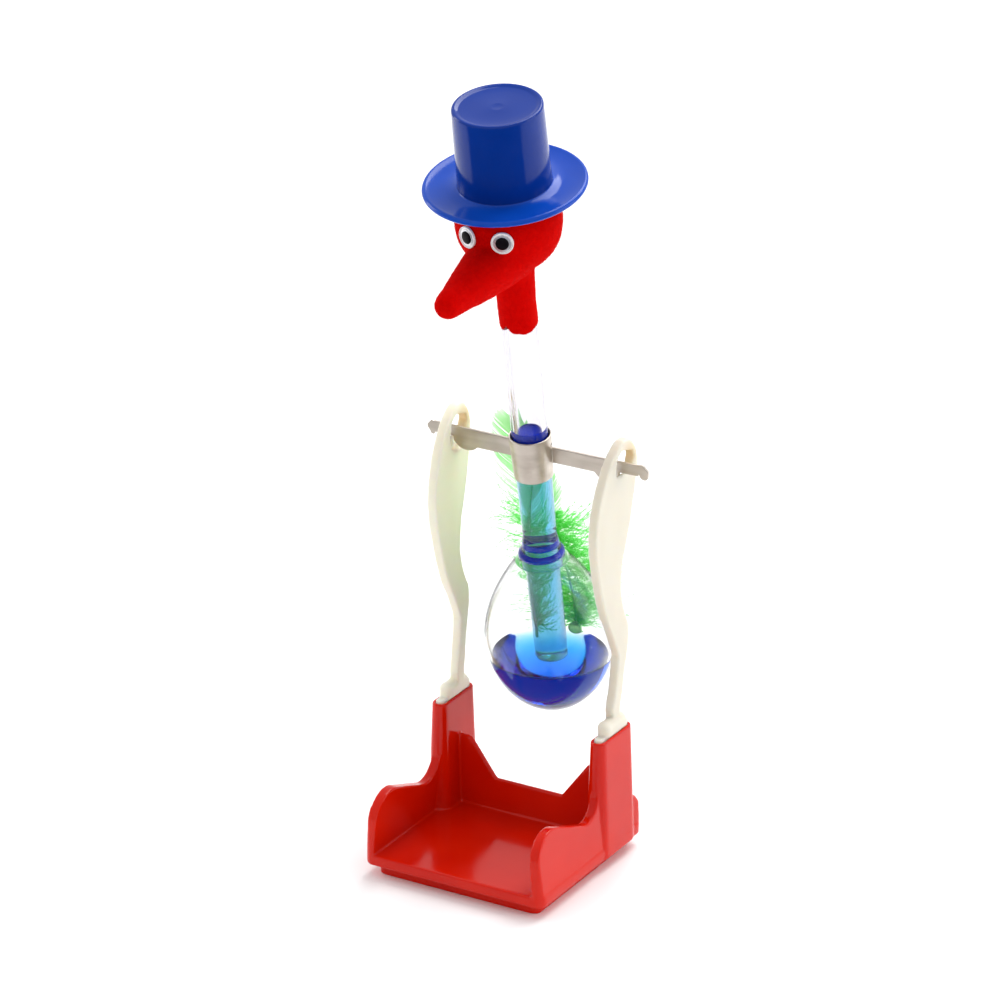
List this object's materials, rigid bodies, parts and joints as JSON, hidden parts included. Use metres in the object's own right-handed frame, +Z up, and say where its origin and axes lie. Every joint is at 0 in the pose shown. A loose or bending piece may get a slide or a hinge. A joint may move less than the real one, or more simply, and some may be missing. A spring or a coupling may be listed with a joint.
{
  "type": "drinking bird desk toy",
  "caption": "Glass drinking bird with a felt head, top hat and tail feather, rocking on a plated crossbar between two legs of a moulded stand.",
  "frame": {"origin": "middle of the stand's flat underside", "axes": "+Z up, -Y the way the bird faces and dips, +X along the crossbar to the right of someone facing the bird from the front"},
  "size_m": [0.0566, 0.0649, 0.1825],
  "materials": {
    "red_plastic": "glossy moulded",
    "ivory_plastic": "satin moulded, slightly see-through",
    "nickel_plate": "bright plated strip",
    "clear_glass": "clear",
    "blue_liquid": "clear dyed liquid",
    "red_felt": "flocked",
    "eye_silver": "silvered disc",
    "eye_black": "black disc",
    "blue_plastic": "glossy moulded",
    "green_feather": "dyed down",
    "clear_glue": "clear drop"
  },
  "bodies": {
    "stand": {"base": "red_plastic", "left_leg": "ivory_plastic", "right_leg": "ivory_plastic"},
    "bird": {"crossbar": "nickel_plate", "neck_tube": "clear_glass", "lower_bulb": "clear_glass", "head_bulb": "clear_glass", "liquid_pool": "blue_liquid", "liquid_column": "blue_liquid", "head_felt": "red_felt", "beak": "red_felt", "left_eye": "eye_silver", "right_eye": "eye_silver", "left_pupil": "eye_black", "right_pupil": "eye_black", "hat": "blue_plastic", "feather_quill": "green_feather", "feather_vane": "green_feather", "feather_glue": "clear_glue"}
  },
  "joints": [
    {"name": "rocking_pivot", "type": "hinge", "parent": "stand", "child": "bird", "pos_m": [0, 0.01415, 0.0946], "axis": [1, 0, 0], "range_deg": [-45, 65]}
  ]
}
